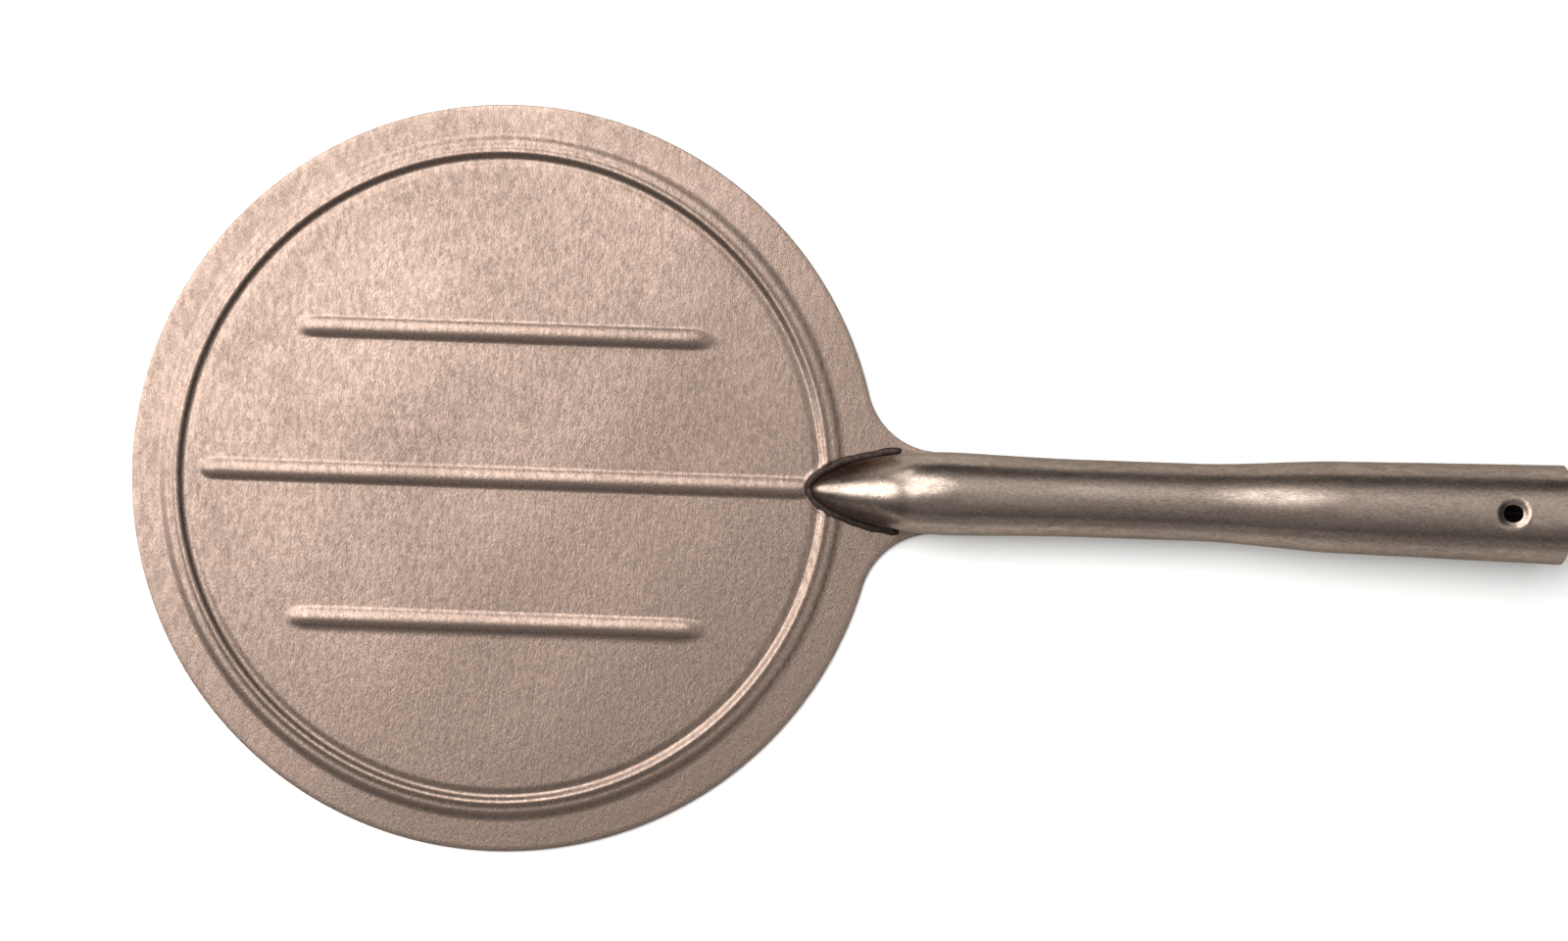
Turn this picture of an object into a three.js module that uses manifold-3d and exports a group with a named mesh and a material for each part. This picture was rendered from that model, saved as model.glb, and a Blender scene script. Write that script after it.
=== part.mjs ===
// Head of a round pizza peel: a pressed steel blade, and a rolled steel socket that is welded onto its neck.
// The blade lies flat on its rim. The socket lies on top of the neck and takes a wooden pole in its mouth.
// Millimetres, +Z up, +X from the blade to the mouth. The origin is the middle of the head's length and
// width, on the surface that the blade lies on.
import * as THREE from 'three';
import { mergeVertices } from 'three/addons/utils/BufferGeometryUtils.js';
import Module from 'manifold-3d';

const wasm = await Module();
wasm.setup();

// ---- Driving dimensions -------------------------------------------------------------------------
const BLADE_RADIUS = 150;
const BLADE_SHEET = 1.5;
const REACH = 420; // from the blade's centre to the socket's mouth
const GAP = 0.3; // left between pieces that touch

// The swage is the ring pressed round the blade: a shallow valley, and a low crest outside it.
const PANEL_RISE = 0.5; // the panel inside the swage stands this much over the rim
const CREST_RISE = 1.5;
const PANEL_EDGE = 124.6;
const VALLEY = [127, 128];
const CREST = [130.5, 132.2];
const RIM_START = 138;

const RIB_WIDTH = 9.6;
const RIB_CREST_WIDTH = 3.4;
const RIB_RISE = 1.2;
const CHANNEL_RISE = 1.1; // behind a rib, under the sheet
const RIB_ROOT = 0.4; // how far a ridge's solid runs into the sheet that it stands on
const SIDE_RIB_Y = 58.4;
const SIDE_RIB_LENGTH = 164;
const MIDDLE_RIB_START = -122; // its other end runs under the socket's nose

// The neck is where the blade's outline flares into the tongue that the socket stands on.
const NECK_HALF_WIDTH = 16.4;
const NECK_FILLET = 30;
const TONGUE_LENGTH = 12;

// The socket, by its half width along the blade's X axis.
const WALL = 2;
const NOSE_TIP = 123.1;
const NOSE_LENGTH = 60;
const NOSE_FULLNESS = 0.55;
const SHOULDER = { x: 160, half: 16.8 };
const WAIST = { start: 230, end: 276, half: 15.4 };
const CUP = { start: 337, half: 18.3 };
const MOUTH_HALF = 19.75;
const ROUND_BY = 42; // how far behind the nose the flat-bottomed section has become a circle
const OPEN_UNTIL = 170; // the nose is open underneath up to here, where the blade closes it

const HOLE_X = REACH - 23;
const HOLE_RADIUS = 3.9;
const DIMPLE_RADIUS = 6.2;
const DIMPLE_DEPTH = 1.6;

const SIDE_WELD = { radius: 1.5, length: 36 };
const HEEL_WELD = { width: 1.3, height: 0.55, turn: Math.PI / 3 };
const SEAM = { slit: 1.6, cap: 3, capHeight: 0.6, start: 192 };

const BLADE_SEGMENTS = 72;
const SOCKET_SIDES = 28;
const SOCKET_STEPS = 24;

// ---- Helpers ------------------------------------------------------------------------------------
const SEAT = BLADE_SHEET + GAP; // the height that the socket stands at
const BLADE_X = (BLADE_RADIUS - REACH) / 2;
const panelTop = PANEL_RISE + BLADE_SHEET;

const easeBetween = (x, from, to) => THREE.MathUtils.smoothstep(x, from, to);

function solidOf(geometry) {
  const bare = geometry.clone();
  bare.deleteAttribute('normal');
  bare.deleteAttribute('uv');
  const merged = mergeVertices(bare, 1e-3);
  const corners = merged.index.array;
  const kept = [];
  for (let i = 0; i < corners.length; i += 3) {
    const [a, b, c] = corners.slice(i, i + 3);
    if (a !== b && b !== c && c !== a) kept.push(a, b, c);
  }
  const vertProperties = new Float32Array(merged.attributes.position.array);
  const mesh = new wasm.Mesh({ numProp: 3, vertProperties, triVerts: new Uint32Array(kept) });
  return new wasm.Manifold(mesh);
}

function meshOf(name, solid, material) {
  const { vertProperties, triVerts } = solid.getMesh();
  const geometry = new THREE.BufferGeometry();
  geometry.setAttribute('position', new THREE.BufferAttribute(vertProperties, 3));
  geometry.setIndex(new THREE.BufferAttribute(triVerts, 1));
  geometry.computeVertexNormals();
  const mesh = new THREE.Mesh(geometry, material);
  mesh.name = name;
  return mesh;
}

// A closed body with the skin place(along, around). along goes from 0 at one end to 1 at the other, and
// around is an angle that turns anticlockwise to someone who looks along the body from 0 to 1.
// Its two ends are closed by flat fans round the mean of the end ring.
function moulded(sides, steps, place) {
  const geometry = new THREE.CylinderGeometry(1, 1, 1, sides, steps);
  const position = geometry.attributes.position;
  const middles = [0, 1].map((along) => {
    const middle = new THREE.Vector3();
    for (let i = 0; i < sides; i++) middle.add(place(along, (2 * Math.PI * i) / sides));
    return middle.divideScalar(sides);
  });
  const point = new THREE.Vector3();
  for (let i = 0; i < position.count; i++) {
    point.fromBufferAttribute(position, i);
    const along = 0.5 - point.y;
    const onAxis = Math.hypot(point.x, point.z) < 0.5;
    const moved = onAxis ? middles[Math.round(along)] : place(along, Math.atan2(point.x, point.z));
    position.setXYZ(i, moved.x, moved.y, moved.z);
  }
  return solidOf(geometry);
}

function slab(shape, bottom, height) {
  const options = { depth: height, bevelEnabled: false, curveSegments: 12 };
  return solidOf(new THREE.ExtrudeGeometry(shape, options).translate(0, 0, bottom));
}

// ---- Blade --------------------------------------------------------------------------------------
// The round of the blade, turned from the section of the pressed sheet.
function pressedRound() {
  const under = [
    [0, PANEL_RISE],
    [PANEL_EDGE, PANEL_RISE],
    [VALLEY[0], 0],
    [VALLEY[1], 0],
    [CREST[0], CREST_RISE],
    [CREST[1], CREST_RISE],
    [RIM_START, 0],
    [BLADE_RADIUS, 0],
  ];
  const upper = under.map(([r, z]) => [r, z + BLADE_SHEET]).reverse();
  const profile = [...under, ...upper].map(([r, z]) => new THREE.Vector2(r, z));
  return solidOf(new THREE.LatheGeometry(profile, BLADE_SEGMENTS).rotateX(Math.PI / 2));
}

// The outline of the neck, from inside the rim out to the rounded end of the tongue.
function neckShape() {
  const filletY = NECK_HALF_WIDTH + NECK_FILLET;
  const filletX = Math.sqrt((BLADE_RADIUS + NECK_FILLET) ** 2 - filletY ** 2);
  const turn = Math.atan2(filletY, filletX); // where the fillet leaves the round
  const innerX = (RIM_START + BLADE_RADIUS) / 2 - 3;
  const innerY = BLADE_RADIUS * Math.sin(turn) - 1;
  const shape = new THREE.Shape();
  shape.moveTo(innerX, -innerY);
  shape.absarc(filletX, -filletY, NECK_FILLET, Math.PI - turn, Math.PI / 2, true);
  shape.absellipse(filletX, 0, TONGUE_LENGTH, NECK_HALF_WIDTH, -Math.PI / 2, Math.PI / 2, false);
  shape.absarc(filletX, filletY, NECK_FILLET, -Math.PI / 2, Math.PI + turn, true);
  shape.lineTo(innerX, innerY);
  shape.closePath();
  return { shape, tongueX: filletX };
}

// A ridge with round ends and sloping sides, lying along X, that stands rise over the height surface.
// It is a rib on the sheet, and at the sheet's underside it is the channel behind that rib.
function ridge(from, to, y, surface, rise) {
  const middle = (from + to) / 2;
  const run = (to - from - RIB_WIDTH) / 2;
  return moulded(24, 1, (along, around) => {
    const height = THREE.MathUtils.lerp(-RIB_ROOT, rise, along);
    const half = THREE.MathUtils.lerp(RIB_WIDTH, RIB_CREST_WIDTH, height / RIB_RISE) / 2;
    const end = Math.abs(Math.cos(around)) < 1e-6 ? 0 : Math.sign(Math.cos(around));
    return new THREE.Vector3(
      middle + end * run + half * Math.cos(around),
      y - half * Math.sin(around),
      surface + height,
    );
  });
}

// A point beside the socket's nose, off outside its outline. t is 0 at the tip, 1 where the side weld ends.
function besideNose(t, off) {
  const outline = (at) => {
    const x = NOSE_TIP + SIDE_WELD.length * at * at;
    return new THREE.Vector2(x, socketHalfWidth(x));
  };
  const ahead = outline(t + 0.01).sub(outline(t - 0.01)).normalize();
  return outline(t).add(new THREE.Vector2(-ahead.y, ahead.x).multiplyScalar(off));
}

// The flat land round the socket's nose, where the swage stops.
function landShape(margin) {
  const steps = 10;
  const rimAt = Math.sqrt((RIM_START + 3 - NOSE_TIP) / SIDE_WELD.length);
  const upper = [new THREE.Vector2(NOSE_TIP - margin, 0)];
  for (let i = 0; i <= steps; i++) {
    upper.push(besideNose(THREE.MathUtils.lerp(0.1, rimAt, i / steps), margin));
  }
  const lower = upper.slice(1).map((p) => new THREE.Vector2(p.x, -p.y));
  return new THREE.Shape([...upper, ...lower.reverse()]);
}

function bladeSolid() {
  const ribs = [
    [MIDDLE_RIB_START, NOSE_TIP - 4, 0],
    [-SIDE_RIB_LENGTH / 2 - 2, SIDE_RIB_LENGTH / 2 - 2, SIDE_RIB_Y],
    [-SIDE_RIB_LENGTH / 2 - 2, SIDE_RIB_LENGTH / 2 - 2, -SIDE_RIB_Y],
  ];
  let blade = pressedRound();
  for (const [from, to, y] of ribs) {
    blade = blade.add(ridge(from, to, y, panelTop, RIB_RISE));
    blade = blade.subtract(ridge(from, to, y, PANEL_RISE, CHANNEL_RISE));
  }
  const weldReach = 2 * SIDE_WELD.radius + 2 * GAP;
  const landCut = slab(landShape(weldReach), -1, 6);
  const land = slab(landShape(weldReach + GAP), 0, BLADE_SHEET);
  return blade.subtract(landCut).add(land).add(slab(neckShape().shape, 0, BLADE_SHEET));
}

// ---- Socket -------------------------------------------------------------------------------------
function noseGrowth(x) {
  const t = THREE.MathUtils.clamp((x - NOSE_TIP) / NOSE_LENGTH, 0, 1);
  return (1 - (1 - t) ** 2) ** NOSE_FULLNESS;
}

function bodyHalfWidth(x) {
  const cone = ((MOUTH_HALF - CUP.half) * Math.max(0, x - CUP.start)) / (REACH - CUP.start);
  return (
    SHOULDER.half +
    (WAIST.half - SHOULDER.half) * easeBetween(x, SHOULDER.x, WAIST.start) +
    (CUP.half - WAIST.half) * easeBetween(x, WAIST.end, CUP.start) +
    cone
  );
}

const socketHalfWidth = (x) => bodyHalfWidth(x) * noseGrowth(x);

// The section's centre lies on the seat at the nose, and a full radius over it once the section is round.
const centreHeight = (x) => SEAT + socketHalfWidth(x) * easeBetween(x, NOSE_TIP, NOSE_TIP + ROUND_BY);

// The socket's skin moved in by inset, between two places along X, and cut flat at the height floor.
function socketBody(inset, floor, from, to) {
  return moulded(SOCKET_SIDES, SOCKET_STEPS, (along, around) => {
    const x = THREE.MathUtils.lerp(from, to, along ** 1.6);
    const half = (bodyHalfWidth(x) - inset) * noseGrowth(x - 1.2 * inset + 0.02);
    const z = centreHeight(x) + half * Math.cos(around);
    return new THREE.Vector3(x, half * Math.sin(around), Math.max(z, floor));
  });
}

const boxSolid = (from, to) => {
  const size = to.clone().sub(from);
  const middle = from.clone().add(to).divideScalar(2);
  return solidOf(new THREE.BoxGeometry(...size).translate(...middle));
};

// A punched hole with a dimpled edge, for the screw that holds the pole.
function punch() {
  const top = SEAT + 2 * socketHalfWidth(HOLE_X);
  const upright = (topRadius, bottomRadius, height, middle) => {
    const geometry = new THREE.CylinderGeometry(topRadius, bottomRadius, height, 24);
    return solidOf(geometry.rotateX(Math.PI / 2).translate(HOLE_X, 0, middle));
  };
  const hole = upright(HOLE_RADIUS, HOLE_RADIUS, 6 * WALL, top);
  const dimple = upright(DIMPLE_RADIUS, HOLE_RADIUS, DIMPLE_DEPTH, top - DIMPLE_DEPTH / 2 + 0.01);
  return hole.add(dimple);
}

function socketSolid() {
  const beyond = REACH + 1;
  const skin = socketBody(0, SEAT, NOSE_TIP, REACH);
  const hollow = socketBody(WALL, SEAT - 1, NOSE_TIP + 1.2 * WALL, beyond);
  const floor = boxSolid(
    new THREE.Vector3(OPEN_UNTIL, -MOUTH_HALF, SEAT - 2),
    new THREE.Vector3(beyond + 1, MOUTH_HALF, SEAT + WALL),
  );
  const slit = boxSolid(
    new THREE.Vector3(SEAM.start - 2, -SEAM.slit / 2, SEAT - 1),
    new THREE.Vector3(beyond, SEAM.slit / 2, SEAT + WALL + 1),
  );
  return skin.subtract(hollow.subtract(floor)).subtract(slit).subtract(punch());
}

// ---- Welds --------------------------------------------------------------------------------------
// A bead along path(along), width wide and height high, with tapered ends and its foot at the height floor.
function bead(path, steps, width, height, floor) {
  return moulded(10, steps, (along, around) => {
    const here = path(along);
    const tangent = path(Math.min(1, along + 0.01)).sub(path(Math.max(0, along - 0.01))).normalize();
    const side = new THREE.Vector3(-tangent.y, tangent.x, 0);
    const taper = 0.35 + 0.65 * Math.sqrt(Math.sin(Math.PI * THREE.MathUtils.clamp(along, 0.02, 0.98)));
    const across = (-width / 2) * taper * Math.cos(around);
    const up = Math.max(0, height * taper * Math.sin(around));
    return here.addScaledVector(side, across).setZ(floor + up);
  });
}

// The fillet along one side of the nose, from the tip back to the end of the neck's flare.
function sideWeld(side) {
  const path = (along) => {
    const here = besideNose(THREE.MathUtils.lerp(0.1, 1, along), SIDE_WELD.radius + GAP);
    return new THREE.Vector3(here.x, side * here.y, 0);
  };
  return bead(path, 14, 2 * SIDE_WELD.radius, SIDE_WELD.radius, SEAT);
}

// The bead under the socket, round the end of the blade's tongue.
function heelWeld() {
  const { tongueX } = neckShape();
  const off = GAP + HEEL_WELD.width / 2;
  const path = (along) => {
    const turn = THREE.MathUtils.lerp(-HEEL_WELD.turn, HEEL_WELD.turn, along);
    return new THREE.Vector3(
      tongueX + (TONGUE_LENGTH + off) * Math.cos(turn),
      (NECK_HALF_WIDTH + off) * Math.sin(turn),
      0,
    );
  };
  return bead(path, 16, HEEL_WELD.width, 2 * HEEL_WELD.height, GAP);
}

// The bead that closes the seam of the rolled socket: a stem in the slit, and a low cap under it.
function seamWeld() {
  const stem = SEAM.slit / 2 - GAP;
  const cap = SEAM.cap / 2;
  const capTop = SEAT - GAP;
  const section = new THREE.Shape([
    new THREE.Vector2(-cap, capTop),
    new THREE.Vector2(-cap * 0.6, capTop - SEAM.capHeight),
    new THREE.Vector2(cap * 0.6, capTop - SEAM.capHeight),
    new THREE.Vector2(cap, capTop),
    new THREE.Vector2(stem, capTop),
    new THREE.Vector2(stem, SEAT + WALL - GAP),
    new THREE.Vector2(-stem, SEAT + WALL - GAP),
    new THREE.Vector2(-stem, capTop),
  ]);
  const length = REACH - 1 - SEAM.start;
  const bar = new THREE.ExtrudeGeometry(section, { depth: length, bevelEnabled: false });
  bar.rotateX(Math.PI / 2).rotateZ(Math.PI / 2);
  return solidOf(bar.translate(SEAM.start, 0, 0));
}

// ---- Assembly -----------------------------------------------------------------------------------
const sheetSteel = new THREE.MeshStandardMaterial({ color: 0xb8a294, roughness: 0.42, metalness: 0.9 });
const rolledSteel = new THREE.MeshStandardMaterial({ color: 0x9d8c80, roughness: 0.36, metalness: 0.92 });
const weldSteel = new THREE.MeshStandardMaterial({ color: 0x5b524c, roughness: 0.55, metalness: 0.85 });

const peel = new THREE.Group();
peel.position.x = BLADE_X;
peel.add(
  meshOf('blade', bladeSolid(), sheetSteel),
  meshOf('socket', socketSolid(), rolledSteel),
  meshOf('left_weld', sideWeld(1), weldSteel),
  meshOf('right_weld', sideWeld(-1), weldSteel),
  meshOf('heel_weld', heelWeld(), weldSteel),
  meshOf('seam_weld', seamWeld(), weldSteel),
);

export default peel;
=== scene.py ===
"""The looks of a pressed steel pizza peel head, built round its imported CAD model.

The head is a round blade pressed from one sheet, a rolled tube that takes the pole, and the weld beads that
join them. Blender works in metres. The shapes below are worked out in millimetres, from the blade's centre
and the surface that the blade lies on, and are scaled and moved into the row's frame as each mesh is made.
"""

import math

import bmesh
import bpy
import numpy as np
from mathutils import Matrix, Vector


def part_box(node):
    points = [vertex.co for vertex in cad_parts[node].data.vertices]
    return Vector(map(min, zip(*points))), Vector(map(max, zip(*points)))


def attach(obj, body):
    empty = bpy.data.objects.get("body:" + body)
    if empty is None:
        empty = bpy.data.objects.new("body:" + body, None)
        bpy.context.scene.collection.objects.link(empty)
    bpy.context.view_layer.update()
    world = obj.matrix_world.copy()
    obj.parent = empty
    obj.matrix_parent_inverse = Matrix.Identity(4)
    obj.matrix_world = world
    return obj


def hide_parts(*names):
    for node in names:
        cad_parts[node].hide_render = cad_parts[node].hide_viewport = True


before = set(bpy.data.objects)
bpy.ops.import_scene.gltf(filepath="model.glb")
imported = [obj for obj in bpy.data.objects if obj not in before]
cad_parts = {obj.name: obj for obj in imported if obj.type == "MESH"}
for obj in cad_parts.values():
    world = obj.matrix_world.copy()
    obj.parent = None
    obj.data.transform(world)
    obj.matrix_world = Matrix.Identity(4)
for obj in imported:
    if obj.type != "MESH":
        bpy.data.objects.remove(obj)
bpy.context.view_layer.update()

MM = 0.001

# ---- Sizes that the frame gives ---------------------------------------------------------------------
BLADE_LOW, BLADE_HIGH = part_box("blade")
SOCKET_LOW, SOCKET_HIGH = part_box("socket")
BLADE_RADIUS = (BLADE_HIGH.y - BLADE_LOW.y) / 2 / MM
CENTRE_X = BLADE_LOW.x + BLADE_RADIUS * MM
TONGUE_TIP = (BLADE_HIGH.x - CENTRE_X) / MM
NOSE_TIP = (SOCKET_LOW.x - CENTRE_X) / MM
REACH = (SOCKET_HIGH.x - CENTRE_X) / MM
SEAT = SOCKET_LOW.z / MM
MOUTH_HALF = (SOCKET_HIGH.y - SOCKET_LOW.y) / 2 / MM

# ---- The blade's dimensions -------------------------------------------------------------------------
SHEET = 1.5
PANEL_EDGE = 122.0  # the panel's straight rows of faces reach this far, and close rings go on from here
RIM_START = 140.0
PANEL_RISE = 0.5
SWAGE_SHIFT = (-1.3, 0.3)  # the pressed ring is this far off the blade's own centre
# each step of the swage: its rise, and the radii between which it rises
SWAGE_STEPS = ((-0.45, 124.6, 127.6), (1.5, 127.7, 130.7), (-0.55, 130.8, 133.0), (-1.0, 134.2, 138.2))
RIB_HALF, RIB_STEEPEST, RIB_RISE = 4.9, 3.6, 1.2
RIB_END_STRETCH = 0.6  # a rib's ends run out more gently than its sides
SIDE_RIB_Y = 58.4
RIBS = ((-124.0, NOSE_TIP + 2, 0.0), (-86.0, 82.0, SIDE_RIB_Y), (-86.0, 82.0, -SIDE_RIB_Y))
NECK_HALF = 16.4
NECK_FILLET = 30.0
FILLET_Y = NECK_HALF + NECK_FILLET
FILLET_X = math.sqrt((BLADE_RADIUS + NECK_FILLET) ** 2 - FILLET_Y**2)
EDGE_ROUND = 0.35
WAVE_RISE, RIPPLE_RISE = 0.10, 0.05  # the panel is a little wavy, as thin sheet is after pressing
WAVE_FADE = (120, 90)
LAND = (1.4, 3.0)  # the pressing runs out to a flat land between these distances off the nose
COLLAR_RISE = 0.35  # the sheet is drawn up a little round the tip of the nose
COLLAR_INNER, COLLAR_OUTER, COLLAR_END = (1.6, 2.6), (4.0, 2.8), (10, 4)

# ---- The socket's dimensions ------------------------------------------------------------------------
WALL = 2.0
NOSE_LENGTH, NOSE_FULLNESS = 60.0, 0.55
SHOULDER_X, SHOULDER_HALF = 160.0, 16.8
WAIST_START, WAIST_END, WAIST_HALF = 230.0, 276.0, 15.4
CUP_START, CUP_HALF = 337.0, 18.3
ROUND_BY = 42.0  # the tube's underside is flat at the tip of the nose, and round from here on
FLAT_ROUND = 0.5  # how softly the flat underside turns up into the sides
SEAM_START, SEAM_TAPER, SEAM_HALF_GAP = 192.0, 5.0, 0.8
LIP_ROUND = 0.55
HOLE_X = REACH - 23
HOLE_RADIUS = 3.9
HOLE_BLOCK = 8.2  # the square round the hole, from its middle to a side, that has rings of its own
DIMPLE_OUTER, DIMPLE_INNER, DIMPLE_DEPTH = 7.0, 3.3, 1.6
SOCKET_SIDES = 112
MOUTH_FINE = 35.0  # the rings are close together over this length, which has the hole in it

# ---- The welds' dimensions --------------------------------------------------------------------------
# a bead's half width, its height, below 0 where it hangs down, and the distance between its ripples
SIDE_BEAD = (1.6, 1.0, 1.3)
HEEL_BEAD = (1.5, -0.9, 1.2)
SEAM_BEAD = (1.7, -0.7, 1.4)
BEAD_RUN = 36.0  # the side beads end this far behind the tip of the nose
BEAD_OVERLAP = 1.0  # how far each side bead runs past the tip of the nose, onto the other one
BEAD_SINK = 0.35  # how far the side beads reach in under the nose
HEEL_OFF, HEEL_SPREAD = 0.9, 1.05  # the heel bead's distance off the tongue, and half its turn in radians
BEAD_SIDES, BEAD_STEP = 20, 0.22


def ease(x, start, end):
    """0 before start and 1 after end, with a smooth step between. start may be the larger of the two."""
    t = np.clip((x - start) / (end - start), 0, 1)
    return t * t * (3 - 2 * t)


# ---- Meshes -----------------------------------------------------------------------------------------
def add_piece(name, points, faces, node):
    """A smooth mesh object from points in the design's millimetres, which stands for one CAD node."""
    placed = np.asarray(points, float) * MM
    placed[:, 0] += CENTRE_X
    mesh = bpy.data.meshes.new(name)
    mesh.from_pydata(placed.tolist(), [], faces)
    mesh.validate()
    mesh.shade_smooth()
    piece = bpy.data.objects.new(name, mesh)
    bpy.context.scene.collection.objects.link(piece)
    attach(piece, "root")
    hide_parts(node)
    return piece


def weld_vertices(piece, distance=1e-6):
    """Joins the points that lie on each other and turns every face outwards."""
    made = bmesh.new()
    made.from_mesh(piece.data)
    bmesh.ops.remove_doubles(made, verts=made.verts, dist=distance)
    bmesh.ops.dissolve_degenerate(made, edges=made.edges, dist=distance)
    bmesh.ops.recalc_face_normals(made, faces=made.faces)
    made.to_mesh(piece.data)
    made.free()
    piece.data.shade_smooth()


def bridge(first, second):
    """The faces between two closed loops that have as many points each."""
    ahead = [(k + 1) % len(first) for k in range(len(first))]
    return [(int(first[k]), int(second[k]), int(second[n]), int(first[n])) for k, n in enumerate(ahead)]


# ---- Socket's outside, which the blade's land follows too -------------------------------------------
def nose_growth(x):
    t = np.clip((x - NOSE_TIP) / NOSE_LENGTH, 0, 1)
    return (1 - (1 - t) ** 2) ** NOSE_FULLNESS


def body_half(x):
    cone = (MOUTH_HALF - CUP_HALF) * np.maximum(0, x - CUP_START) / (REACH - CUP_START)
    shoulder = SHOULDER_HALF + (WAIST_HALF - SHOULDER_HALF) * ease(x, SHOULDER_X, WAIST_START)
    return shoulder + (CUP_HALF - WAIST_HALF) * ease(x, WAIST_END, CUP_START) + cone


def socket_half(x):
    return body_half(x) * nose_growth(x)


def socket_middle(x):
    """The height of the tube's axis, which climbs as the nose grows."""
    return SEAT + socket_half(x) * ease(x, NOSE_TIP, NOSE_TIP + ROUND_BY)


def beside_nose(t, off):
    """A point off outside the nose's outline: t is 0 at the tip and 1 where the side beads end."""

    def outline(at):
        x = NOSE_TIP + BEAD_RUN * at * at
        return np.stack([x, socket_half(x)], -1)

    ahead = outline(t + 0.01) - outline(t - 0.01)
    ahead /= np.linalg.norm(ahead, axis=-1, keepdims=True)
    return outline(t) + off * np.stack([-ahead[..., 1], ahead[..., 0]], -1)


# ---- Blade ------------------------------------------------------------------------------------------
def swage(x, y):
    """The height of the pressed ring and the panel inside it, over the rim: a valley, a crest and a shelf."""
    r = np.hypot(x - SWAGE_SHIFT[0], y - SWAGE_SHIFT[1])
    return PANEL_RISE + sum(rise * ease(r, start, end) for rise, start, end in SWAGE_STEPS)


def ribs(x, y):
    """The ribs' crown is an arc across, with a tight fillet at its foot."""
    height = 0
    slope = 2 * RIB_RISE / RIB_HALF
    for start, end, middle in RIBS:
        reach = RIB_HALF / RIB_END_STRETCH
        beyond = x - np.clip(x, start + reach, end - reach)
        away = np.hypot(beyond * RIB_END_STRETCH, y - middle)
        crown = RIB_RISE - slope * away**2 / (2 * RIB_STEEPEST)
        foot = slope * (RIB_HALF - away) ** 2 / (2 * (RIB_HALF - RIB_STEEPEST))
        height = height + np.where(away < RIB_STEEPEST, crown, np.where(away < RIB_HALF, foot, 0))
    return height


def off_nose(x, y):
    """The distance from the nose's outline to points near it: 0 inside, and 1000 where it doesn't matter."""
    samples = np.linspace(NOSE_TIP, NOSE_TIP + NOSE_LENGTH, 240)
    half = socket_half(samples)
    away = np.full(x.shape, 1e3)
    close = (x > NOSE_TIP - 20) & (np.abs(y) < 45)
    px, py = x[close], np.abs(y[close])
    gap = np.hypot(px[:, None] - samples[None, :], py[:, None] - half[None, :]).min(1)
    gap[(px > NOSE_TIP) & (py < socket_half(px))] = 0
    away[close] = gap
    return away


def sheet_height(x, y):
    """The underside of the blade's sheet: swage, ribs and waves, with a land and a collar round the nose."""
    wave = WAVE_RISE * np.sin(x / 31 + 0.6) * np.cos(y / 27 - 0.4)
    wave += RIPPLE_RISE * np.sin(x / 13 - y / 17)
    wave *= ease(np.hypot(x, y), *WAVE_FADE)
    off = off_nose(x, y)
    along = ease(x - NOSE_TIP, *COLLAR_END)
    collar = COLLAR_RISE * ease(off, *COLLAR_INNER) * ease(off, *COLLAR_OUTER) * along
    return (swage(x, y) + ribs(x, y) + wave) * ease(off, *LAND) + collar


def outline_radius(angle):
    """The blade's outline in polar form: the round, the neck's two fillets and the tongue's round end."""
    turn = np.abs(np.arctan2(np.sin(angle), np.cos(angle)))
    fillet_at, tongue_at = math.atan2(FILLET_Y, FILLET_X), math.atan2(NECK_HALF, FILLET_X)
    b = FILLET_X * np.cos(turn) + FILLET_Y * np.sin(turn)
    inside = np.maximum(0, b**2 - (FILLET_X**2 + FILLET_Y**2 - NECK_FILLET**2))
    fillet = b - np.sqrt(inside)
    across, along = np.sin(turn) / NECK_HALF, np.cos(turn) / (TONGUE_TIP - FILLET_X)
    middle = FILLET_X / (TONGUE_TIP - FILLET_X)
    square, half_b = along**2 + across**2, along * middle
    tongue = (half_b + np.sqrt(np.maximum(0, half_b**2 - square * (middle**2 - 1)))) / square
    radius = np.where(turn < fillet_at, fillet, BLADE_RADIUS)
    return np.where(turn < tongue_at, tongue, radius)


def row_angles():
    """The panel's rows, by the angle where they meet its edge. They are closer over the ribs and the neck."""
    coarse, middling, fine = (math.radians(step) for step in (0.75, 0.4, 0.2))
    near_rib, near_neck = math.radians(2.9), math.radians(17)
    centres = [math.asin(y / PANEL_EDGE) for _, _, y in RIBS]
    angles = [-math.pi / 2]
    while angles[-1] < math.pi / 2:
        here = angles[-1]
        if any(abs(here - centre) < near_rib for centre in centres):
            step = fine
        elif abs(here) < near_neck:
            step = middling
        else:
            step = coarse
        angles.append(here + step)
    return (np.array(angles) * (math.pi / 2) / angles[-1])[1:-1]


def panel_rows(rows):
    """The panel in plan: its points, row by row after its two ends, its faces, and its outer loop."""
    columns = np.sin(np.linspace(-math.pi / 2, math.pi / 2, 91) * 0.9) / math.sin(math.pi / 2 * 0.9)
    y = PANEL_EDGE * np.sin(rows)
    half = np.sqrt(PANEL_EDGE**2 - y**2)
    ends = np.array([[0, -PANEL_EDGE], [0, PANEL_EDGE]])
    inner = np.stack([half[:, None] * columns[None, :], np.repeat(y[:, None], columns.size, 1)], -1)
    n, m = rows.size, columns.size
    at = lambda i, j: 2 + i * m + j
    faces = []
    for i in range(n - 1):
        faces += [(at(i, j), at(i, j + 1), at(i + 1, j + 1), at(i + 1, j)) for j in range(m - 1)]
    faces += [(0, at(0, j + 1), at(0, j)) for j in range(m - 1)]
    faces += [(1, at(n - 1, j), at(n - 1, j + 1)) for j in range(m - 1)]
    loop = [0] + [at(i, m - 1) for i in range(n)] + [1] + [at(i, 0) for i in reversed(range(n))]
    return np.concatenate([ends, inner.reshape(-1, 2)]), faces, loop


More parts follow.
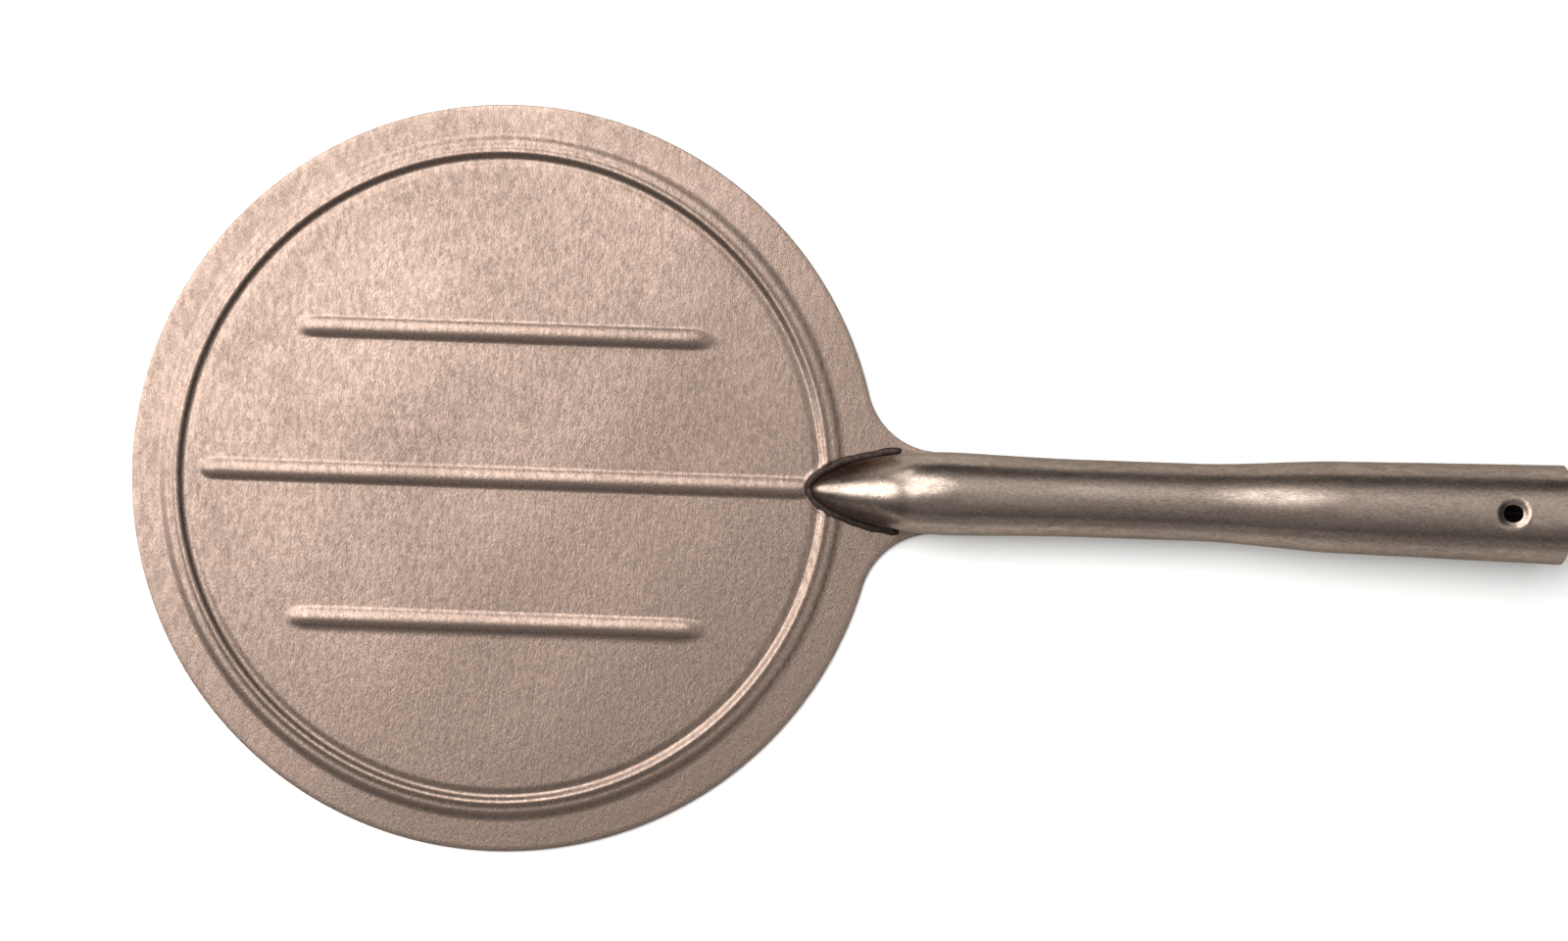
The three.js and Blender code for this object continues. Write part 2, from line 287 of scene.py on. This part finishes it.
def blade_layout():
    """Points in plan and the faces between them: straight rows over the panel, then rings out to the edge."""
    rows = row_angles()
    panel, faces, previous = panel_rows(rows)
    angle = np.concatenate([[-math.pi / 2], rows, [math.pi / 2], math.pi - rows[::-1]])
    ring = lambda radius: np.stack([radius * np.cos(angle), radius * np.sin(angle)], -1)
    edge = ring(outline_radius(angle))
    ahead = np.roll(edge, -1, 0) - np.roll(edge, 1, 0)
    outward = np.stack([ahead[:, 1], -ahead[:, 0]], -1) / np.linalg.norm(ahead, axis=1)[:, None]
    inner, outer = ring(RIM_START), edge - EDGE_ROUND * outward
    rings = [ring(radius) for radius in np.linspace(PANEL_EDGE, RIM_START, 31)[1:]]
    rings += [inner + (outer - inner) * t for t in np.linspace(0, 1, 6)[1:]]
    plan, count = [panel], len(panel)
    for points in rings:
        plan.append(points)
        here = list(range(count, count + angle.size))
        count += angle.size
        faces += bridge(previous, here)
        previous = here
    return np.concatenate(plan), faces, np.array(previous), edge, outward


def build_blade():
    plan, faces, border, edge, outward = blade_layout()
    under = sheet_height(plan[:, 0], plan[:, 1])
    n = len(plan)
    points = [np.column_stack([plan, under + SHEET]), np.column_stack([plan, under])]
    faces += [tuple(n + v for v in reversed(face)) for face in faces]
    previous, count = border, 2 * n
    for degrees, upper in [(a, True) for a in (30, 60, 90)] + [(a, False) for a in (90, 60, 30)]:
        a = math.radians(degrees)
        xy = edge - outward * EDGE_ROUND * (1 - math.sin(a))
        drop = EDGE_ROUND * (1 - math.cos(a))
        z = under[border] + (SHEET - drop if upper else drop)
        points.append(np.column_stack([xy, z]))
        here = np.arange(count, count + len(edge))
        count += len(edge)
        faces += bridge(previous, here)
        previous = here
    faces += bridge(previous, border + n)
    return add_piece("blade_sheet", np.concatenate(points), faces, "blade")


# ---- Socket -----------------------------------------------------------------------------------------
def socket_point(x, around, inset):
    """A point on the socket's skin, moved in by inset. around is 0 at the top and pi along the bottom."""
    half = (body_half(x) - inset) * nose_growth(x - 1.2 * inset + 0.02)
    y, z = half * np.sin(around), socket_middle(x) + half * np.cos(around)
    floor = SEAT + inset
    soft = np.minimum(FLAT_ROUND, 0.12 * half + 0.02)
    lifted = floor + soft * np.logaddexp(0, (z - floor) / soft)
    return np.stack([x + 0 * z, y, lifted], -1)


def dimple_depth(x, around):
    """How far the metal round the screw hole is pressed in."""
    away = np.hypot(x - HOLE_X, MOUTH_HALF * around)
    return DIMPLE_DEPTH * ease(away, DIMPLE_OUTER, DIMPLE_INNER)


def socket_stations():
    """Where the rings are along the tube, closest together at the tip of the nose."""
    nose = NOSE_TIP + NOSE_LENGTH * np.linspace(0, 1, 70) ** 1.9
    body = np.arange(NOSE_TIP + NOSE_LENGTH + 1.5, REACH - MOUTH_FINE - 1, 1.6)
    mouth = np.linspace(REACH - MOUTH_FINE, REACH - 0.6, 44)
    return np.concatenate([nose, body, mouth])


def socket_rings(stations):
    """Each ring's place along the tube and its depth in the wall: outside, round the lip and back inside."""
    turns = np.radians([30, 60, 90])
    lip = [(REACH - LIP_ROUND * (1 - math.sin(a)), LIP_ROUND * (1 - math.cos(a))) for a in turns]
    inner = stations[stations >= NOSE_TIP + 1.2 * WALL + 0.3]
    rings = [(x, 0.0) for x in stations]
    rings += lip
    rings += [(x, WALL - depth) for x, depth in reversed(lip)]
    rings += [(x, WALL) for x in inner[::-1]]
    return np.array(rings).T


def hole_rings(loop_x, loop_turn, inset):
    """The rings that lead from a square loop in the tube's skin in to the round edge of the screw hole."""
    px, pa = loop_x - HOLE_X, loop_turn * MOUTH_HALF
    bearing = np.arctan2(pa, px)
    rings = []
    for t in (0.25, 0.45, 0.6, 0.72, 0.82, 0.9, 0.96, 1.0):
        x = px + (HOLE_RADIUS * np.cos(bearing) - px) * t + HOLE_X
        turn = (pa + (HOLE_RADIUS * np.sin(bearing) - pa) * t) / MOUTH_HALF
        rings.append(socket_point(x, turn, inset + dimple_depth(x, turn)))
    return rings, bearing


def build_socket():
    """One rolled shell: outside, lip and inside, open along the seam below, with a dimpled hole on top."""
    stations = socket_stations()
    outer = len(stations)
    ring_x, ring_inset = socket_rings(stations)
    gap = SEAM_HALF_GAP * ease(ring_x, SEAM_START - SEAM_TAPER, SEAM_START)
    most = math.pi - np.arcsin(gap / np.maximum(socket_half(ring_x) - ring_inset, 1))
    share = np.linspace(-1, 1, SOCKET_SIDES + 1)
    around = share[None, :] * most[:, None]
    x = np.repeat(ring_x[:, None], SOCKET_SIDES + 1, 1)
    skin = socket_point(x, around, ring_inset[:, None] + dimple_depth(x, around)).reshape(-1, 3)
    at = lambda i, j: i * (SOCKET_SIDES + 1) + j
    end = SOCKET_SIDES

    on_block = np.abs(ring_x - HOLE_X) < HOLE_BLOCK
    columns = np.flatnonzero(np.abs(share * math.pi) < HOLE_BLOCK / MOUTH_HALF)
    j0, j1 = int(columns[0]), int(columns[-1])
    faces = []
    for i in range(len(ring_x) - 1):
        beside_hole = on_block[i] and on_block[i + 1]
        for j in range(SOCKET_SIDES):
            if not (beside_hole and j0 <= j < j1):
                faces.append((at(i, j), at(i, j + 1), at(i + 1, j + 1), at(i + 1, j)))

    # the seam's two edges join the skins, and the lip's own rings close its end
    for i in range(outer - 1):
        if stations[i + 1] > SEAM_START - SEAM_TAPER:
            a = 2 * outer + 5 - i  # the inner ring at the same station
            faces.append((at(i, 0), at(i + 1, 0), at(a - 1, 0), at(a, 0)))
            faces.append((at(i, end), at(a, end), at(a - 1, end), at(i + 1, end)))
    lip = range(outer - 1, outer + 7)
    faces.append(tuple(at(i, 0) for i in lip))
    faces.append(tuple(at(i, end) for i in reversed(lip)))
    # both skins are closed at the tip of the nose
    faces.append(tuple(at(0, j) for j in range(SOCKET_SIDES)))
    faces.append(tuple(at(len(ring_x) - 1, j) for j in reversed(range(SOCKET_SIDES))))

    points, count = [skin], len(skin)
    hole_edges = []
    for inset in (0, WALL):
        spans = np.flatnonzero(on_block & (ring_inset == inset))
        i0, i1 = int(spans[0]), int(spans[-1])
        square = [(i0, j) for j in range(j0, j1)] + [(i, j1) for i in range(i0, i1)]
        square += [(i1, j) for j in range(j1, j0, -1)] + [(i, j0) for i in range(i1, i0, -1)]
        ring_of, side_of = np.array(square).T
        rings, bearing = hole_rings(ring_x[ring_of], around[ring_of, side_of], inset)
        previous = [at(i, j) for i, j in square]
        for ring in rings:
            points.append(ring)
            here = list(range(count, count + len(ring)))
            count += len(ring)
            faces += bridge(previous, here)
            previous = here
        hole_edges.append((previous, bearing))
    (outer_loop, outer_bearing), (inner_loop, inner_bearing) = hole_edges
    order = [int(np.argmin(np.abs(np.angle(np.exp(1j * (inner_bearing - b)))))) for b in outer_bearing]
    faces += bridge(outer_loop, [inner_loop[k] for k in order])
    piece = add_piece("rolled_socket", np.concatenate(points), faces, "socket")
    weld_vertices(piece)
    return piece


def scale_and_shade_inside(socket, inner_scale_and_shade):
    """Gives the tube's inner skin a material of its own, as its second one: near-black mill scale that is
    partly painted shade.
    """
    socket.data.materials.append(inner_scale_and_shade)
    for face in socket.data.polygons:
        x, y, z = (face.center - Vector((CENTRE_X, 0, 0))) / MM
        if math.hypot(y, z - socket_middle(x)) < socket_half(x) - 0.9 * WALL:
            face.material_index = 1


# ---- Welds ------------------------------------------------------------------------------------------
def bead(name, path, size, floor, node):
    """A run of weld along path, with crescent ripples, wandering a little, with its ends tapered off."""
    radius, height, ripple = size
    path = np.asarray(path)
    length = np.concatenate([[0], np.cumsum(np.linalg.norm(np.diff(path, axis=0), axis=1))])
    steps = max(24, int(length[-1] / BEAD_STEP))
    run = np.linspace(0, length[-1], steps)
    centre = np.stack([np.interp(run, length, path[:, i]) for i in range(2)], -1)
    ahead = np.gradient(centre, axis=0)
    ahead /= np.linalg.norm(ahead, axis=1)[:, None]
    side = np.stack([-ahead[:, 1], ahead[:, 0]], -1)
    turn = np.linspace(0, 2 * math.pi, BEAD_SIDES, endpoint=False)
    end = np.minimum(run, length[-1] - run)
    taper = 0.25 + 0.75 * np.sqrt(np.clip(end / (1.6 * radius), 0, 1))
    wander = 0.12 * radius * np.sin(run / 3.1 + 1.3) + 0.08 * radius * np.sin(run / 1.37)
    phase = (run[:, None] + 0.55 * radius * np.cos(turn)[None, :] ** 2) / ripple
    crest = 1 + 0.10 * np.abs(np.sin(math.pi * phase)) + 0.04 * np.sin(run / 2.3)[:, None]
    across = radius * np.cos(turn)[None, :] * taper[:, None] * (0.9 + 0.1 * crest) + wander[:, None]
    up = np.sin(turn)[None, :] * taper[:, None] * crest
    up = np.where(up > 0, up * height, up * 0.25 * abs(height))
    xy = centre[:, None, :] + side[:, None, :] * across[..., None]
    points = np.concatenate([xy, (floor + up)[..., None]], -1).reshape(-1, 3)
    loops = np.arange(steps * BEAD_SIDES).reshape(steps, BEAD_SIDES).tolist()
    faces = [face for first, second in zip(loops, loops[1:]) for face in bridge(first, second)]
    faces += [tuple(loops[0]), tuple(reversed(loops[-1]))]
    piece = add_piece(name, points, faces, node)
    weld_vertices(piece)
    return piece


def build_welds():
    near = beside_nose(np.linspace(0.02, 1.0, 60), SIDE_BEAD[0] - BEAD_SINK)
    start = np.array([[near[0, 0], -BEAD_OVERLAP]])
    path = np.concatenate([start, near])
    made = [
        bead("left_bead", path, SIDE_BEAD, SHEET, "left_weld"),
        bead("right_bead", path * np.array([1, -1]), SIDE_BEAD, SHEET, "right_weld"),
    ]
    turn = np.linspace(-HEEL_SPREAD, HEEL_SPREAD, 50)
    heel_x = FILLET_X + (TONGUE_TIP - FILLET_X + HEEL_OFF) * np.cos(turn)
    heel = np.column_stack([heel_x, (NECK_HALF + HEEL_OFF) * np.sin(turn)])
    made.append(bead("heel_bead", heel, HEEL_BEAD, SEAT - 0.1, "heel_weld"))
    seam = np.column_stack([np.linspace(SEAM_START - 1, REACH - 0.4, 80), np.zeros(80)])
    made.append(bead("seam_bead", seam, SEAM_BEAD, SEAT + 0.1, "seam_weld"))
    return made


# ---- Materials --------------------------------------------------------------------------------------
# a brown for heat tint, which on the socket's nose also serves as painted shade
HEAT_TINT_AND_SHADE_BROWN = (0.045, 0.03, 0.025)
PATCH_SCALE, BLOTCH_SCALE, SPECKLE_SCALE = 14, 330, 1300  # the noises' cells to the metre, roughly


def new_material(name):
    material = bpy.data.materials.new(name)
    material.use_nodes = True
    nodes, links = material.node_tree.nodes, material.node_tree.links
    return material, nodes, links, nodes["Principled BSDF"]


def steel(name, light, dark, metallic, roughness, stretch, mottle, relief, tint=None):
    """Bare steel: two tones mixed by soft patches and fine mottle, and roughness that varies with them.

    tint is a brown patch: the welding's heat tint, and on the socket also painted shade. It is a centre in
    metres, a radius along each axis in millimetres, the two multiples of those radii between which the brown
    fades out, and its strength.
    """
    material, nodes, links, shader = new_material(name)
    place = nodes.new("ShaderNodeTexCoord")
    shader.inputs["Metallic"].default_value = metallic
    shader.inputs["Specular Tint"].default_value = (0.45, 0.42, 0.4, 1)

    def noise(scale, detail, stretch=(1, 1, 1)):
        mapping = nodes.new("ShaderNodeMapping")
        mapping.inputs["Scale"].default_value = stretch
        links.new(place.outputs["Object"], mapping.inputs["Vector"])
        texture = nodes.new("ShaderNodeTexNoise")
        texture.inputs["Scale"].default_value = scale
        texture.inputs["Detail"].default_value = detail
        links.new(mapping.outputs["Vector"], texture.inputs["Vector"])
        return texture.outputs["Fac"]

    def ramp(value, low, high, start=0.0, end=1.0):
        made = nodes.new("ShaderNodeMapRange")
        made.inputs["From Min"].default_value = low
        made.inputs["From Max"].default_value = high
        made.inputs["To Min"].default_value = start
        made.inputs["To Max"].default_value = end
        links.new(value, made.inputs["Value"])
        return made.outputs["Result"]

    def mix(factor, a, b):
        made = nodes.new("ShaderNodeMix")
        made.data_type = "RGBA"
        for socket, value in ((made.inputs[0], factor), (made.inputs[6], a), (made.inputs[7], b)):
            if isinstance(value, tuple):
                socket.default_value = value
            else:
                links.new(value, socket)
        return made.outputs[2]

    def add(a, b, share):
        """a plus a share of b."""
        made = nodes.new("ShaderNodeMath")
        made.operation = "MULTIPLY_ADD"
        links.new(b, made.inputs[0])
        made.inputs[1].default_value = share
        links.new(a, made.inputs[2])
        return made.outputs["Value"]

    patches = ramp(noise(PATCH_SCALE, 3), 0.35, 0.65)
    speckle = ramp(noise(SPECKLE_SCALE, 2, stretch), 0.32, 0.68)
    blotch = ramp(noise(BLOTCH_SCALE, 3, stretch), 0.32, 0.68)
    tone = add(add(ramp(patches, 0, 1, 0.0, 0.2), blotch, mottle * 0.3), speckle, mottle * 0.6)
    colour = mix(tone, (*light, 1.0), (*dark, 1.0))
    if tint:
        centre, radii, fade, strength = tint
        mapping = nodes.new("ShaderNodeMapping")
        mapping.vector_type = "TEXTURE"
        mapping.inputs["Location"].default_value = centre
        mapping.inputs["Scale"].default_value = Vector(radii) * MM
        links.new(place.outputs["Object"], mapping.inputs["Vector"])
        away = nodes.new("ShaderNodeVectorMath")
        away.operation = "LENGTH"
        links.new(mapping.outputs["Vector"], away.inputs[0])
        ragged = add(away.outputs["Value"], blotch, 0.12)
        # mix in the brown patch: heat tint, and on the socket also painted shade
        colour = mix(ramp(ragged, *fade, strength, 0.0), colour, (*HEAT_TINT_AND_SHADE_BROWN, 1.0))
    links.new(colour, shader.inputs["Base Color"])
    rough = add(ramp(blotch, 0, 1, roughness - 0.05, roughness + 0.05), patches, 0.06)
    links.new(rough, shader.inputs["Roughness"])
    bump = nodes.new("ShaderNodeBump")
    bump.inputs["Strength"].default_value = 0.5
    bump.inputs["Distance"].default_value = relief * MM
    links.new(add(blotch, speckle, 0.7), bump.inputs["Height"])
    links.new(bump.outputs["Normal"], shader.inputs["Normal"])
    return material


def pressed_sheet():
    """The blade: warm grey-beige and mottled, and brown from the weld's heat round the nose."""
    return steel(
        "pressed_sheet",
        light=(0.3, 0.219, 0.179),
        dark=(0.13, 0.095, 0.077),
        metallic=0.95,
        roughness=0.3,
        stretch=(1.6, 0.7, 1),
        mottle=1.0,
        relief=0.065,
        tint=((CENTRE_X + (NOSE_TIP + 40) * MM, 0, 0), (38, 12.5, 30), (0.95, 1.25), 0.85),
    )


def rolled_sheet():
    """The tube: brown-grey with fine streaks along it; the nose's left side is browned by the weld's heat and
    darkened as painted shade.
    """
    return steel(
        "rolled_socket",
        light=(0.325, 0.261, 0.216),
        dark=(0.155, 0.121, 0.101),
        metallic=0.95,
        roughness=0.26,
        stretch=(0.5, 1.4, 1.4),
        mottle=1.0,
        relief=0.025,
        # the brown patch here is heat tint plus painted shade on the nose's left flank and its foot
        tint=((CENTRE_X + (NOSE_TIP + 12) * MM, 10.5 * MM, SEAT * MM), (40, 13, 22), (0.65, 1.15), 0.95),
    )


def mill_scale_and_shade():
    """The tube's inside: dull mill scale, made near black as painted shade inside the tube."""
    return steel(
        "mill_scale_and_shade",
        light=(0.022, 0.02, 0.019),
        dark=(0.01, 0.009, 0.009),
        metallic=0.5,
        roughness=0.6,
        stretch=(1, 1, 1),
        mottle=1.0,
        relief=0.05,
    )


def weld_oxide_and_shade():
    """The beads: oxidised and rough, and darkened further as painted shade of the crevice round the nose."""
    return steel(
        "weld_bead",
        light=(0.07, 0.05, 0.042),
        dark=(0.02, 0.016, 0.014),
        metallic=0.85,
        roughness=0.62,
        stretch=(1, 1, 1),
        mottle=0.9,
        relief=0.12,
    )


# ---- Floor ------------------------------------------------------------------------------------------
FLOOR_HALF = 12.0
FLOOR_DROP = 0.0002  # the floor lies this far under the rim, so that the two never share a plane


def build_floor():
    half = FLOOR_HALF
    mesh = bpy.data.meshes.new("floor")
    corners = [(-half, -half, 0), (half, -half, 0), (half, half, 0), (-half, half, 0)]
    mesh.from_pydata(corners, [], [(0, 1, 2, 3)])
    floor = bpy.data.objects.new("floor", mesh)
    floor.location.z = -FLOOR_DROP
    bpy.context.scene.collection.objects.link(floor)
    material, _, _, shader = new_material("pale_floor")
    shader.inputs["Base Color"].default_value = (0.9, 0.895, 0.88, 1)
    shader.inputs["Roughness"].default_value = 0.9
    floor.data.materials.append(material)


# ---- Light ------------------------------------------------------------------------------------------
DOME_LIGHT, HORIZON_LIGHT = 0.46, 0.02
DOME_LEAN = Vector((-0.12, 0.05, 1.0)).normalized()  # the middle of the dome's bright part
DOME_EDGE = (0.34, 0.72)  # the cosines, from that middle, between which the dome fades in from the dark
# each lamp's place, what it points at, its size across and along, and its power in watts
LAMPS = {
    "key": ((-2.1, 0.15, 0.6), (0, 0, 0), (1.2, 0.9), 27),
    "overhead_left": ((-1.5, 1.2, 2.4), (-1.5, 1.2, 0), (3.3, 3.3), 143),
    "overhead_right": ((1.0, 0.9, 2.4), (1.0, 0.9, 0), (1.3, 4.6), 13.5),
    "back_fill": ((-1.8, 1.9, 1.0), (-0.35, 0.0, 0), (1.7, 1.1), 16),
    "low_fill": ((0.1, -2.4, 0.6), (0.1, 0.0, 0), (3.6, 1.0), 5),
}


def build_dome():
    """The world: a bright dome over a dark horizon."""
    world = bpy.data.worlds.new("studio")
    world.use_nodes = True
    nodes, links = world.node_tree.nodes, world.node_tree.links
    direction = nodes.new("ShaderNodeTexCoord")
    lean = nodes.new("ShaderNodeVectorMath")
    lean.operation = "DOT_PRODUCT"
    lean.inputs[1].default_value = DOME_LEAN
    links.new(direction.outputs["Generated"], lean.inputs[0])
    rise = nodes.new("ShaderNodeMapRange")
    rise.interpolation_type = "SMOOTHSTEP"
    rise.inputs["From Min"].default_value = DOME_EDGE[0]
    rise.inputs["From Max"].default_value = DOME_EDGE[1]
    rise.inputs["To Min"].default_value = HORIZON_LIGHT
    rise.inputs["To Max"].default_value = DOME_LIGHT
    links.new(lean.outputs["Value"], rise.inputs["Value"])
    links.new(rise.outputs["Result"], nodes["Background"].inputs["Strength"])
    nodes["Background"].inputs["Color"].default_value = (1, 1, 1, 1)
    bpy.context.scene.world = world


def build_lamp(name, place, target, size, power):
    data = bpy.data.lights.new(name, "AREA")
    data.shape = "ELLIPSE"
    data.size, data.size_y = size
    data.energy = power
    light = bpy.data.objects.new(name, data)
    light.location = place
    light.rotation_euler = (Vector(target) - Vector(place)).to_track_quat("-Z", "Y").to_euler()
    bpy.context.scene.collection.objects.link(light)


# ---- Camera -----------------------------------------------------------------------------------------
CAMERA_HEIGHT, VIEW_WIDTH = 1.3, 0.6307
CAMERA_ROLL = math.radians(2.0)
CAMERA_RIGHT, CAMERA_UP = 0.1121, 0.003  # from the blade's centre, along the picture's sides


def build_camera():
    """Straight above the head, turned so that the tube runs slightly down to the right."""
    right = Vector((math.cos(CAMERA_ROLL), math.sin(CAMERA_ROLL), 0))
    up = Vector((-math.sin(CAMERA_ROLL), math.cos(CAMERA_ROLL), 0))
    data = bpy.data.cameras.new("camera")
    data.sensor_fit = "HORIZONTAL"
    data.sensor_width = 36
    data.lens = data.sensor_width * CAMERA_HEIGHT / VIEW_WIDTH
    camera = bpy.data.objects.new("camera", data)
    place = Vector((CENTRE_X, 0, CAMERA_HEIGHT)) + right * CAMERA_RIGHT + up * CAMERA_UP
    turn = Matrix((right, up, right.cross(up))).transposed()
    camera.matrix_world = Matrix.Translation(place) @ turn.to_4x4()
    bpy.context.scene.collection.objects.link(camera)
    bpy.context.scene.camera = camera


# ---- The head on its floor --------------------------------------------------------------------------
blade = build_blade()
blade.data.materials.append(pressed_sheet())

socket = build_socket()
socket.data.materials.append(rolled_sheet())
# the tube's inside gets near-black mill scale, which is partly painted shade
scale_and_shade_inside(socket, mill_scale_and_shade())

# the beads' near-black colour is weld oxide plus painted shade of the crevice along the nose
bead_oxide_and_shade = weld_oxide_and_shade()
for weld in build_welds():
    weld.data.materials.append(bead_oxide_and_shade)

build_floor()
build_dome()
for lamp_name, lamp in LAMPS.items():
    build_lamp(lamp_name, *lamp)
build_camera()
bpy.context.scene.view_settings.view_transform = "Standard"
